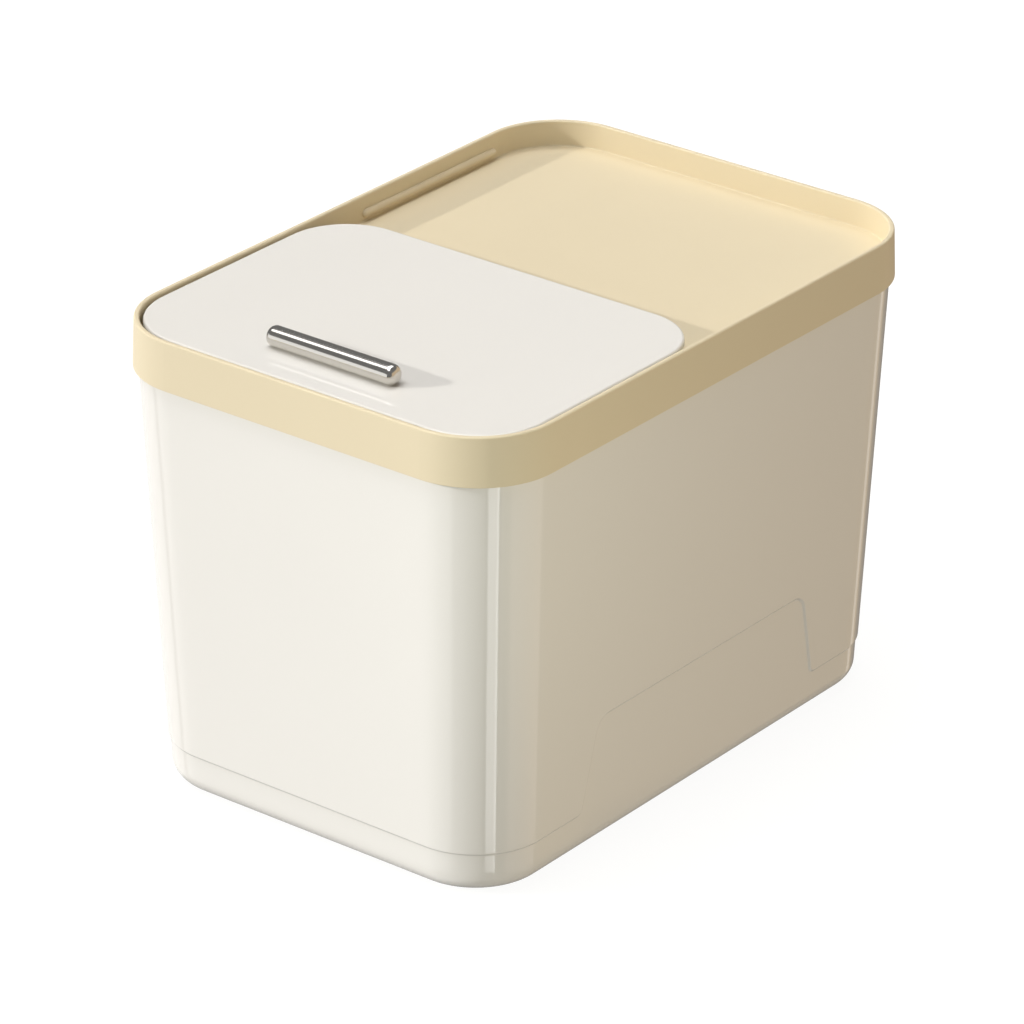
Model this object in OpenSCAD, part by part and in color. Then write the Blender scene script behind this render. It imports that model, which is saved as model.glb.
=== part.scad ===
// Rice bin with a flip lid: a drafted body, a lift-off cover with a tray, and a hinged front lid.
// X is the width, Y the length with the handle end at -Y, Z is up from the floor that the feet stand on.

/* [Overall] */
// Width over the cover's band
bin_w = 250; // [230:5:300]
// Length over the cover's band
bin_l = 360; // [330:5:440]
// Height from the floor to the top of the rim
bin_h = 255; // [190:5:320]
// Corner radius of the cover's band
corner_r = 45; // [42:1:55]

/* [Body] */
// Wall thickness
wall_t = 3; // [2.4:0.1:4]
// Floor thickness
floor_t = 3.4; // [3:0.1:5]
// Inward slope of the walls for each millimetre of height
side_draft = 0.0385; // [0.02:0.0005:0.05]
// Corner radius at the foot of the walls
base_corner_r = 40; // [36:1:50]
// Radius along the bottom edge
base_edge_r = 9; // [8:1:18]
// Depth of the surface below the relief line
relief_d = 1; // [0.5:0.1:1.5]
// Height of the relief line round the foot
relief_z = 24; // [18:1:40]
// Height of the side panel's top line
panel_top_z = 74; // [55:1:120]
// Length of the side panel at the relief line
panel_foot_l = 195; // [150:1:220]
// Length of the side panel at its top line
panel_top_l = 172; // [120:1:190]
// Place of the side panel's middle along the body
panel_y = 2; // [-10:1:10]
// Radius of the side panel's upper corners
panel_r = 10; // [4:1:16]
// Radius where the side panel meets the relief line
panel_foot_r = 4; // [2:0.5:6]
// Depth of the recess in the underside
base_recess_d = 0.8; // [0.4:0.1:1.2]
// Distance of the recess from the feet
base_recess_gap = 5; // [3:1:20]
// Corner radius of the recess
base_recess_r = 20; // [10:1:30]

/* [Cover] */
// Height of the band
band_h = 26; // [22:1:32]
// Inward slope of the band's outside over its whole height
band_lean = 1; // [0.4:0.1:1.6]
// Thickness of the rim round the tray
rim_t = 2.8; // [2.2:0.1:3.6]
// Rounding of the rim's two edges
rim_edge_r = 1; // [0.6:0.1:1.1]
// Inward slope of the tray's wall over its whole depth
tray_lean = 0.5; // [0.3:0.1:1]
// Rounding where the tray's wall meets the deck
tray_fillet_r = 0.8; // [0.8:0.1:2]
// Height of the ribs under the tray's deck
deck_rib_h = 5; // [3:0.5:8]
// Thickness of the ribs under the tray's deck
deck_rib_t = 1.6; // [1.2:0.1:2.2]
// Number of ribs along the tray's deck
deck_ribs = 3; // [2:1:5]
// Thickness of the skirt round the body's mouth
skirt_t = 2.2; // [1.8:0.1:2.6]
// Gap between the skirt and the body
skirt_gap = 0.5; // [0.3:0.1:1]
// Depth of the tray below the rim
tray_depth = 14; // [12:0.5:18]
// Thickness of the tray's deck
deck_t = 2.5; // [2:0.1:3.5]
// Depth of the locating rib inside the body's mouth
locator_h = 8; // [5:0.5:10]
// Thickness of the locating rib
locator_t = 2; // [1.5:0.1:3]
// Gap between the locating rib and the body
locator_gap = 0.6; // [0.3:0.1:1]
// Length of the ledge rib on each side wall of the tray
ledge_l = 110; // [60:5:130]
// Place of the ledge rib's middle along the cover
ledge_y = 77; // [70:1:84]
// Radius of the ledge rib's rounded face
ledge_r = 2.2; // [1:0.1:2.3]
// Reach of the ledge rib from the wall
ledge_out = 2.3; // [1.2:0.1:2.6]
// Depth of the ledge rib's middle below the rim
ledge_drop = 9.8; // [8:0.1:10]

/* [Mouth] */
// Distance from the lid's side edge to the mouth
mouth_side = 22; // [18:1:34]
// Distance from the lid's front edge to the mouth
mouth_front = 15; // [14:1:24]
// Distance from the lid's rear edge to the mouth
mouth_rear = 24; // [23:1:34]
// Corner radius of the mouth
mouth_r = 28; // [20:1:34]
// Thickness of the collar round the mouth
collar_t = 3; // [2.4:0.1:4]

/* [Flip lid] */
// Length of the lid
lid_l = 174.5; // [160:0.5:182]
// Drop of the lid's top below the rim
lid_drop = 1; // [0.4:0.1:1.6]
// Gap between the lid and the rim
lid_gap = 1.7; // [1.2:0.1:2.4]
// Thickness of the lid's top plate
plate_t = 2.2; // [1.8:0.1:2.6]
// Height of the lid's edge
edge_h = 3.6; // [3:0.1:3.8]
// Thickness of the wall along the lid's edge
edge_t = 2.2; // [1.8:0.1:2.4]
// Radius of the lid's two rear corners
lid_rear_r = 35; // [24:1:42]
// Rounding of the lid's upper edge
lid_edge_r = 1.4; // [0.8:0.1:1.6]
// Angle to which the lid opens
lid_open = 0; // [0:1:105]

/* [Inner panel and seals] */
// Thickness of the inner panel
panel_t = 1.8; // [1.5:0.1:2.4]
// Space between the top plate and the inner panel
panel_gap = 2.4; // [2.3:0.1:3]
// Reach of the inner panel past the collar
panel_over = 2.5; // [1.5:0.1:4]
// Depth of the plug wall below the inner panel
plug_h = 5; // [3:0.5:6]
// Thickness of the plug wall
plug_t = 2; // [1.5:0.1:2.5]
// Gap between the plug wall and the mouth
plug_gap = 1.5; // [1:0.1:2.5]
// Thickness of the lid's seal
lid_seal_t = 2; // [1.5:0.1:2.4]
// Width of the lid's seal
lid_seal_w = 4.2; // [3:0.1:5]
// Thickness of the seal on the body's rim
rim_seal_t = 2; // [1.5:0.1:2.5]
// Gap between the rim seal and the walls of its groove
rim_seal_gap = 0.25; // [0.1:0.05:0.4]

/* [Hinge] */
// Distance from the lid's rear edge to the hinge axis
pivot_back = 4.5; // [4.2:0.1:5]
// Depth of the hinge axis below the lid's top
pivot_drop = 6.6; // [6.4:0.1:6.8]
// Distance of each hinge from the lid's side edge
hinge_in = 44.5; // [36:0.5:70]
// Radius of the cover's ears
ear_r = 3.4; // [3:0.1:3.5]
// Thickness of each ear
ear_t = 6; // [4:0.5:8]
// Radius of the lid's barrel
barrel_r = 3.2; // [2.8:0.1:3.4]
// Length of the lid's barrel
barrel_l = 20; // [14:1:26]
// Side play between barrel and ear
side_play = 0.5; // [0.3:0.1:1]
// Diameter of the hinge pin
pin_d = 3; // [2.5:0.1:3.2]
// Radial clearance of the pin in the barrel
barrel_fit = 0.08; // [0.04:0.01:0.1]
// Radial clearance of the pin in the ears
ear_fit = 0.02; // [0.01:0.01:0.04]
// Diameter of the pin's head
pin_head_d = 5; // [4:0.1:6]
// Thickness of the pin's head
pin_head_t = 1.2; // [0.8:0.1:2]

/* [Handle] */
// Diameter of the bar handle
bar_d = 11; // [10:0.5:16]
// Length of the bar handle
bar_l = 80; // [60:1:120]
// Rounding of the bar's ends
bar_end_r = 4; // [2:0.1:4.8]
// Depth of the flat under the bar
bar_flat = 0.35; // [0.2:0.05:1]
// Distance from the lid's front edge to the bar's middle
bar_back = 28; // [20:1:45]
// Distance of each handle screw from the bar's end
bar_screw_in = 15; // [10:1:24]

/* [Fasteners and feet] */
// Diameter of the handle screws
bar_screw_d = 4; // [3:0.5:4]
// Length of the handle screws below the head
bar_screw_l = 9; // [7:0.5:9.5]
// Diameter of the handle screws' heads
bar_screw_head_d = 7.2; // [6:0.1:8]
// Thickness of the handle screws' heads
bar_screw_head_t = 2; // [1.5:0.1:2.1]
// Diameter of the panel screws
panel_screw_d = 2.4; // [2:0.1:3]
// Diameter of the panel screws' heads
panel_screw_head_d = 4.8; // [4:0.1:6]
// Thickness of the panel screws' heads
panel_screw_head_t = 1.4; // [1:0.1:2]
// Diameter of the bosses for the panel screws
boss_d = 7; // [5.5:0.1:8]
// Inset of the panel screws from the mouth
panel_screw_in = 14; // [10:1:20]
// Radial clearance of a screw in the hole that it passes through
screw_pass = 0.2; // [0.1:0.05:0.3]
// Radial clearance of a screw in the hole that holds it
screw_hold = 0.02; // [0.01:0.01:0.05]
// Diameter of the rubber feet
foot_d = 14; // [10:1:18]
// Height of the feet below the body
foot_proud = 1.2; // [0.8:0.1:2.5]
// Depth of the feet's sockets
foot_sunk = 1.8; // [1:0.1:2]
// Distance of the feet from the edge of the flat base
foot_in = 19; // [11:1:24]
// Radial clearance of a foot in its socket
foot_fit = 0.05; // [0.05:0.05:0.3]

/* [Hidden] */
$fn = 64;
EPS = 0.01;
CREAM = [0.93, 0.87, 0.73];
WHITE = [0.96, 0.95, 0.92];
SILICONE = [0.88, 0.88, 0.86];
CHROME = [0.75, 0.75, 0.76];
STEEL = [0.62, 0.62, 0.64];
RUBBER = [0.25, 0.25, 0.26];
EDGE_R = 0.4;
LAP = 1;

// Heights, from the rim down
band_z = bin_h - band_h;
deck_z = bin_h - tray_depth;
under_z = deck_z - deck_t;
mouth_z = under_z - rim_seal_t;
lid_z = bin_h - lid_drop;
plate_z = lid_z - plate_t;
panel_z = plate_z - panel_gap;
seal_z = panel_z - panel_t;
collar_z = seal_z - lid_seal_t;
base_z = foot_proud;

// Insets from the band's outline at its lower edge
body_in = skirt_t + skirt_gap;
cavity_in = body_in + wall_t;
rim_in = band_lean + rim_t;
tray_in = rim_in + tray_lean;
deck_in = tray_in + tray_fillet_r + 2 * LAP;
locator_in = cavity_in + locator_gap;
lid_in = rim_in + lid_gap;

// Body: the walls slope in below the band
wall_top_z = band_z - LAP;
wall_fall = side_draft * (wall_top_z - base_z);
foot_x = bin_w / 2 - body_in - wall_fall - base_edge_r - foot_in;
foot_y = bin_l / 2 - body_in - wall_fall - base_edge_r - foot_in;
recess_w = 2 * foot_x - foot_d - 2 * base_recess_gap;
recess_l = 2 * foot_y - foot_d - 2 * base_recess_gap;

// Lid outline
lid_w = bin_w - 2 * lid_in;
lid_front_y = -bin_l / 2 + lid_in;
lid_rear_y = lid_front_y + lid_l;
lid_mid_y = (lid_front_y + lid_rear_y) / 2;
lid_front_r = corner_r - lid_in;
edge_z = lid_z - edge_h;

// Mouth outline
mouth_w = lid_w - 2 * mouth_side;
mouth_l = lid_l - mouth_front - mouth_rear;
mouth_y = lid_mid_y + (mouth_front - mouth_rear) / 2;

// Ribs under the tray's deck, from the mouth to the locating rib
rib_front_y = mouth_y + mouth_l / 2 + collar_t + panel_over;
rib_rear_y = bin_l / 2 - locator_in - locator_t / 2;
rib_reach_x = bin_w / 2 - locator_in - locator_t / 2;

// Hinge
hinge_x = lid_w / 2 - hinge_in;
pivot_y = lid_rear_y - pivot_back;
pivot_z = lid_z - pivot_drop;
pin_l = barrel_l + 2 * (side_play + ear_t);

// Handle and fasteners
bar_y = lid_front_y + bar_back;
bar_screw_x = bar_l / 2 - bar_screw_in;
bar_z = lid_z + bar_d / 2 - bar_flat;
panel_screw_x = mouth_w / 2 - panel_screw_in;
panel_screw_y = mouth_l / 2 - panel_screw_in;
panel_screw_bite = 1.2;

// Points of an arc about c, from angle a to angle b
function arc(c, r, a, b, n) = [for (i = [0:n]) c + r * [cos(a + (b - a) * i / n), sin(a + (b - a) * i / n)]];

// A polygon's points with corner i rounded to radius radii[i]
function unit(v) = v / norm(v);
function rounded(pts, radii, n = 5) = [
    for (i = [0:len(pts) - 1])
        let (
            p = pts[i],
            u = unit(pts[(i + len(pts) - 1) % len(pts)] - p),
            v = unit(pts[(i + 1) % len(pts)] - p),
            half = acos(u * v) / 2,
            c = p + unit(u + v) * radii[i] / sin(half),
            start = p + u * radii[i] / tan(half) - c,
            end = p + v * radii[i] / tan(half) - c,
            a = atan2(start[1], start[0]),
            sweep = atan2(start[0] * end[1] - start[1] * end[0], start * end)
        )
        each (radii[i] > 0 ? arc(c, radii[i], a, a + sweep, n) : [p])
];

// A rounded rectangle, centred
module rounded_rect(w, l, r) {
    square([w - 2 * r, l], center = true);
    square([w, l - 2 * r], center = true);
    for (x = [-1, 1], y = [-1, 1]) {
        translate([x * (w / 2 - r), y * (l / 2 - r)]) circle(r);
    }
}

// A plate between two heights whose outline lies inside the band's by the inset
module inset_plate(inset, z0, z1) {
    translate([0, 0, z0])
        linear_extrude(z1 - z0)
            rounded_rect(bin_w - 2 * inset, bin_l - 2 * inset, corner_r - inset);
}

// A profile carried along a straight side, with its x axis pointing outwards
module carry_straight(from, to) {
    way = to - from;
    translate(to)
        rotate([0, 0, atan2(way[1], way[0]) - 90])
            rotate([90, 0, 0])
                linear_extrude(norm(way)) children();
}

// A profile carried round a rounded rectangle, in which x = 0 is the outline
module carry_round(w, l, front_r, rear_r) {
    x = w / 2;
    y = l / 2;
    carry_straight([x, -y + front_r], [x, y - rear_r]) children();
    carry_straight([x - rear_r, y], [-x + rear_r, y]) children();
    carry_straight([-x, y - rear_r], [-x, -y + front_r]) children();
    carry_straight([-x + front_r, -y], [x - front_r, -y]) children();
    for (corner = [[x - rear_r, y - rear_r, 0, rear_r], [-x + rear_r, y - rear_r, 90, rear_r],
            [-x + front_r, -y + front_r, 180, front_r], [x - front_r, -y + front_r, 270, front_r]]) {
        translate([corner[0], corner[1], 0])
            rotate([0, 0, corner[2]])
                rotate_extrude(angle = 90) translate([corner[3], 0]) children();
    }
}

// One level of the body: a rounded rectangle as a ring of points
CORNER_STEPS = 14;
function level(w, l, r, z) = [
    for (k = [0:3])
        let (sx = k == 0 || k == 3 ? 1 : -1, sy = k < 2 ? 1 : -1)
        for (p = arc([sx * (w / 2 - r), sy * (l / 2 - r)], r, 90 * k, 90 * k + 90, CORNER_STEPS)) [p[0], p[1], z]
];

// A closed solid through a list of levels, from the lowest up
module loft(levels) {
    n = len(levels[0]);
    top = len(levels) - 1;
    polyhedron(
        points = [for (ring = levels) each ring],
        faces = [
            [for (j = [0:n - 1]) j],
            for (i = [0:top - 1], j = [0:n - 1])
                let (a = i * n + j, b = i * n + (j + 1) % n)
                each [[a, a + n, b + n], [a, b + n, b]],
            [for (j = [n - 1:-1:0]) top * n + j]
        ]
    );
}

// The drafted form inside the band by the inset, from the bottom height to the top height
function wall_inset(z) = side_draft * max(0, wall_top_z - z);
function wall_corner(z) = corner_r - body_in + (base_corner_r - corner_r + body_in)
    * max(0, wall_top_z - z) / (wall_top_z - base_z);
function form_level(inset, z, edge) =
    let (i = body_in + inset + wall_inset(z) + edge)
    level(bin_w - 2 * i, bin_l - 2 * i, wall_corner(z) - inset - edge, z);
module drafted_form(inset, z0, z1, edge_r) {
    edge_levels = [for (a = [0:15:90]) form_level(inset, z0 + edge_r * (1 - cos(a)), edge_r * (1 - sin(a)))];
    wall_levels = z1 > wall_top_z ? [wall_top_z, z1] : [z1];
    loft(concat(edge_levels, [for (z = wall_levels) form_level(inset, z, 0)]));
}

// Everything below the relief line: the foot all round, and a panel on both long sides
module below_relief() {
    wide = bin_w + 20;
    foot_reach = panel_foot_l / 2 + 3 * panel_foot_r + LAP;
    translate([-wide / 2, -bin_l, -LAP]) cube([wide, 2 * bin_l, relief_z + LAP]);
    translate([-wide / 2, panel_y, 0])
        rotate([90, 0, 90])
            linear_extrude(wide)
                polygon(rounded([
                    [-foot_reach, relief_z - LAP], [foot_reach, relief_z - LAP], [foot_reach, relief_z],
                    [panel_foot_l / 2, relief_z], [panel_top_l / 2, panel_top_z],
                    [-panel_top_l / 2, panel_top_z], [-panel_foot_l / 2, relief_z], [-foot_reach, relief_z]
                ], [0, 0, 0, panel_foot_r, panel_r, panel_r, panel_foot_r, 0]));
}

module body() {
    color(WHITE) difference() {
        union() {
            difference() {
                drafted_form(0, base_z, mouth_z, base_edge_r);
                below_relief();
            }
            drafted_form(relief_d, base_z, panel_top_z + 4 * LAP, base_edge_r);
        }
        drafted_form(wall_t, base_z + floor_t, mouth_z + LAP, base_edge_r - wall_t);
        translate([0, 0, base_z - LAP])
            linear_extrude(base_recess_d + LAP) rounded_rect(recess_w, recess_l, base_recess_r);
        for (x = [-1, 1], y = [-1, 1]) {
            translate([x * foot_x, y * foot_y, base_z - LAP])
                cylinder(r = foot_d / 2 + foot_fit, h = foot_sunk + LAP);
        }
    }
}

// The band, its rounded rim and the start of the deck, as one section
module band_section() {
    polygon(rounded([
        [0, band_z], [-band_lean, bin_h], [-rim_in, bin_h], [-tray_in, deck_z], [-deck_in, deck_z],
        [-deck_in, under_z], [-skirt_t, under_z], [-skirt_t, band_z]
    ], [EDGE_R, rim_edge_r, rim_edge_r, tray_fillet_r, 0, 0, 0, 0]));
}

module mouth_plate(grow, z0, z1) {
    translate([0, mouth_y, z0])
        linear_extrude(z1 - z0)
            rounded_rect(mouth_w + 2 * grow, mouth_l + 2 * grow, mouth_r + grow);
}

// One ear in side view, about the hinge axis, standing on the deck
module ear_section() {
    foot_h = pivot_z - deck_z + EPS;
    circle(ear_r);
    polygon([[-ear_r, 0], [-2 * ear_r, -foot_h], [ear_r / 3, -foot_h], ear_r * [cos(60), -sin(60)], [0, 0]]);
}

// Something drawn in side view, given its thickness across the hinge
module across(x0, x1) {
    translate([x0, pivot_y, pivot_z]) rotate([90, 0, 90]) linear_extrude(x1 - x0) children();
}

module hinge_bore(x0, x1, fit) {
    translate([x0, pivot_y, pivot_z]) rotate([0, 90, 0]) cylinder(r = pin_d / 2 + fit, h = x1 - x0);
}

module ears() {
    inner = barrel_l / 2 + side_play;
    for (side = [-1, 1], end = [-1, 1]) {
        near = side * hinge_x + (end > 0 ? inner : -inner - ear_t);
        difference() {
            across(near, near + ear_t) ear_section();
            hinge_bore(near - LAP, near + ear_t + LAP, ear_fit);
        }
    }
}

// The ledge rib stands out of the tray's side wall
module ledge(side) {
    lean = (tray_in - rim_in) * ledge_drop / tray_depth;
    x = side * (bin_w / 2 - rim_in - lean - ledge_out + ledge_r);
    reach = ledge_l / 2 - ledge_r;
    z = bin_h - ledge_drop;
    translate([x, ledge_y + reach, z]) rotate([90, 0, 0]) cylinder(r = ledge_r, h = 2 * reach);
    for (end = [-1, 1]) {
        translate([x, ledge_y + end * reach, z]) sphere(ledge_r);
    }
    translate([min(x, x + side * ledge_r), ledge_y - reach, z - ledge_r]) cube([ledge_r, 2 * reach, 2 * ledge_r]);
}

// Ribs that stiffen the deck from below
module deck_ribs() {
    middle_y = (rib_front_y + rib_rear_y) / 2;
    translate([0, 0, under_z - deck_rib_h])
        linear_extrude(deck_rib_h + EPS) {
            for (i = [1:deck_ribs]) {
                translate([rib_reach_x * (2 * i / (deck_ribs + 1) - 1), middle_y])
                    square([deck_rib_t, rib_rear_y - rib_front_y], center = true);
            }
            translate([0, middle_y]) square([2 * rib_reach_x, deck_rib_t], center = true);
        }
}

module cover() {
    color(CREAM) {
        difference() {
            union() {
                carry_round(bin_w, bin_l, corner_r, corner_r) band_section();
                inset_plate(deck_in - LAP, under_z, deck_z);
                mouth_plate(collar_t, under_z, collar_z);
                difference() {
                    inset_plate(locator_in, under_z - locator_h, under_z + EPS);
                    inset_plate(locator_in + locator_t, under_z - locator_h - LAP, under_z);
                }
                deck_ribs();
            }
            mouth_plate(0, under_z - LAP, collar_z + LAP);
        }
        ears();
        ledge(-1);
        ledge(1);
    }
}

module rim_seal() {
    color(SILICONE) difference() {
        inset_plate(skirt_t + rim_seal_gap, mouth_z, under_z);
        inset_plate(locator_in - rim_seal_gap, mouth_z - LAP, under_z + LAP);
    }
}

// Turns what rides on the lid about the hinge axis
module on_lid() {
    translate([0, pivot_y, pivot_z]) rotate([-lid_open, 0, 0]) translate([0, -pivot_y, -pivot_z]) children();
}

module lid_edge_section() {
    polygon(rounded([
        [0, edge_z], [0, lid_z], [-edge_t - 4 * LAP, lid_z], [-edge_t - 4 * LAP, plate_z], [-edge_t, plate_z],
        [-edge_t, edge_z]
    ], [EDGE_R, lid_edge_r, 0, 0, 2 * EDGE_R, EDGE_R]));
}

// The lid's outline drawn in by the inset, with wider corners at the front
module lid_outline(inset) {
    intersection() {
        rounded_rect(lid_w - 2 * inset, lid_l - 2 * inset, lid_rear_r - inset);
        translate([0, lid_rear_r])
            rounded_rect(lid_w - 2 * inset, lid_l - 2 * inset + 2 * lid_rear_r, lid_front_r - inset);
    }
}

module at_panel_screws() {
    for (x = [-1, 1], y = [-1, 0, 1]) {
        translate([x * panel_screw_x, mouth_y + y * panel_screw_y, 0]) children();
    }
}

module lid() {
    color(WHITE) on_lid() difference() {
        union() {
            translate([0, lid_mid_y, 0]) {
                carry_round(lid_w, lid_l, lid_front_r, lid_rear_r) lid_edge_section();
                translate([0, 0, plate_z]) linear_extrude(plate_t) lid_outline(edge_t + 3 * LAP);
            }
            for (side = [-1, 1]) {
                across(side * hinge_x - barrel_l / 2, side * hinge_x + barrel_l / 2) {
                    circle(barrel_r);
                    translate([-barrel_r, 0]) square([2 * barrel_r, plate_z - pivot_z + EPS]);
                }
            }
            at_panel_screws() translate([0, 0, panel_z]) cylinder(d = boss_d, h = panel_gap + EPS);
        }
        for (side = [-1, 1]) {
            hinge_bore(side * hinge_x - barrel_l / 2 - LAP, side * hinge_x + barrel_l / 2 + LAP, barrel_fit);
            translate([side * bar_screw_x, bar_y, plate_z - LAP])
                cylinder(r = bar_screw_d / 2 + screw_pass, h = plate_t + 2 * LAP);
        }
        at_panel_screws() translate([0, 0, panel_z - LAP])
            cylinder(r = panel_screw_d / 2 + screw_hold, h = panel_gap + panel_screw_bite + LAP);
    }
}

module lid_inner_panel() {
    color(WHITE) on_lid() difference() {
        union() {
            mouth_plate(collar_t + panel_over, seal_z, panel_z);
            mouth_plate(-plug_gap, seal_z - plug_h, seal_z + EPS);
        }
        mouth_plate(-plug_gap - plug_t, seal_z - plug_h - LAP, seal_z);
        at_panel_screws() translate([0, 0, seal_z - LAP])
            cylinder(r = panel_screw_d / 2 + screw_pass, h = panel_t + 2 * LAP);
    }
}

module lid_seal() {
    middle = collar_t / 2;
    color(SILICONE) on_lid() difference() {
        mouth_plate(middle + lid_seal_w / 2, collar_z, seal_z);
        mouth_plate(middle - lid_seal_w / 2, collar_z - LAP, seal_z + LAP);
    }
}

module handle() {
    color(CHROME) on_lid() difference() {
        translate([-bar_l / 2, bar_y, bar_z])
            rotate([0, 90, 0])
                rotate_extrude()
                    polygon(rounded([[0, 0], [bar_d / 2, 0], [bar_d / 2, bar_l], [0, bar_l]],
                        [0, bar_end_r, bar_end_r, 0], 8));
        translate([-bar_l / 2 - LAP, bar_y - bar_d / 2, lid_z - bar_d]) cube([bar_l + 2 * LAP, bar_d, bar_d]);
        for (side = [-1, 1]) {
            translate([side * bar_screw_x, bar_y, lid_z - LAP])
                cylinder(r = bar_screw_d / 2 + screw_hold, h = bar_screw_l - plate_t + 1.5 * LAP);
        }
    }
}

// A pan-headed screw with its head down and its shank up from z = 0
module screw(d, l, head_d, head_t) {
    cylinder(d = d, h = l);
    rotate_extrude()
        polygon(rounded([[0, -head_t], [head_d / 2, -head_t], [head_d / 2, 0], [0, 0]], [0, 0.6, 0, 0], 4));
}

module handle_screws() {
    color(STEEL) on_lid()
        for (side = [-1, 1]) {
            translate([side * bar_screw_x, bar_y, plate_z])
                screw(bar_screw_d, bar_screw_l, bar_screw_head_d, bar_screw_head_t);
        }
}

module panel_screws() {
    color(STEEL) on_lid()
        at_panel_screws() translate([0, 0, seal_z])
            screw(panel_screw_d, panel_t + panel_gap + panel_screw_bite - 0.2, panel_screw_head_d, panel_screw_head_t);
}

// The pin's head is on the side away from the middle
module hinge_pin(side) {
    color(STEEL) translate([side * hinge_x, pivot_y, pivot_z]) rotate([0, side * 90, 0]) {
        translate([0, 0, -pin_l / 2]) cylinder(d = pin_d, h = pin_l);
        translate([0, 0, pin_l / 2]) cylinder(d = pin_head_d, h = pin_head_t);
    }
}

module foot(x, y) {
    color(RUBBER) translate([x * foot_x, y * foot_y, 0]) rotate_extrude()
        polygon(rounded([[0, 0], [foot_d / 2, 0], [foot_d / 2, foot_proud + foot_sunk], [0, foot_proud + foot_sunk]],
            [0, 0.6, 0, 0], 4));
}

body();
cover();
rim_seal();
lid();
lid_inner_panel();
lid_seal();
handle();
handle_screws();
panel_screws();
hinge_pin(-1);  // hinge_pin_left
hinge_pin(1);  // hinge_pin_right
foot(-1, -1);  // foot_front_left
foot(1, -1);  // foot_front_right
foot(-1, 1);  // foot_rear_left
foot(1, 1);  // foot_rear_right
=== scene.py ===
"""Looks of a kitchen rice bin: drafted white body, cream lift-off cover with a tray, and glossy flip lid."""

import math

import bmesh
import bpy
from bpy.props import FloatProperty, FloatVectorProperty, IntProperty, PointerProperty
from mathutils import Matrix, Vector


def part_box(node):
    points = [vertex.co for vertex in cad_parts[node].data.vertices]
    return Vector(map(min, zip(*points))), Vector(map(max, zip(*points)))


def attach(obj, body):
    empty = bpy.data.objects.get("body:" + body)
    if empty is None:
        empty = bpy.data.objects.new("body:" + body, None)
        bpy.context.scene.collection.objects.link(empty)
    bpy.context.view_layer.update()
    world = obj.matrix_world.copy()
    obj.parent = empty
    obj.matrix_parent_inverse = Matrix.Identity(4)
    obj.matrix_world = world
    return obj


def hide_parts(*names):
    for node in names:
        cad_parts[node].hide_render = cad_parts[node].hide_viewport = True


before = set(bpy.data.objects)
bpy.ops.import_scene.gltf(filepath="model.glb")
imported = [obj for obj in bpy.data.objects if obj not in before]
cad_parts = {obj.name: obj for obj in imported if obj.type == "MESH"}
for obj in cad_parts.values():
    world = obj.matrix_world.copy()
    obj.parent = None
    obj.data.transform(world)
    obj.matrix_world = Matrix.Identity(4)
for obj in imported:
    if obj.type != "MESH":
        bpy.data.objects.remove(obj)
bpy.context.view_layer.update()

bl_info = {
    "name": "Rice Bin",
    "version": (1, 0, 0),
    "blender": (4, 5, 0),
    "location": "3D View > Sidebar > Rice Bin",
    "description": "Builds the visible pieces of a rice bin round its solids, with materials and a studio",
    "category": "Add Mesh",
}

MM = 0.001
COVER_LOW, COVER_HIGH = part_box("cover")
BODY_LOW, BODY_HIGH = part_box("body")
BAR_LOW, BAR_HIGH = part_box("handle")
LID_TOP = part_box("lid")[1].z
LID_SEAL_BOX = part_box("lid_seal")
RIM_SEAL_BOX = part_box("rim_seal")
PANEL_SCREW_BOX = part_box("panel_screws")
HANDLE_SCREW_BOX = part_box("handle_screws")
FOOT_LOW, FOOT_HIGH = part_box("foot_front_left")


# Sizes and colours


def length(name, description, default):
    return FloatProperty(name=name, description=description, default=default, min=0.0, unit="LENGTH",
                         subtype="DISTANCE", precision=4)


def colour(name, description, code):
    return FloatVectorProperty(name=name, description=description, subtype="COLOR", size=4, min=0.0, max=1.0,
                               default=linear(code))


def linear(code):
    """The linear colour of an sRGB hex value such as #EFE0C0."""
    parts = [int(code[i:i + 2], 16) / 255 for i in (1, 3, 5)]
    return (*[p / 12.92 if p <= 0.04045 else ((p + 0.055) / 1.055) ** 2.4 for p in parts], 1.0)


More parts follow.
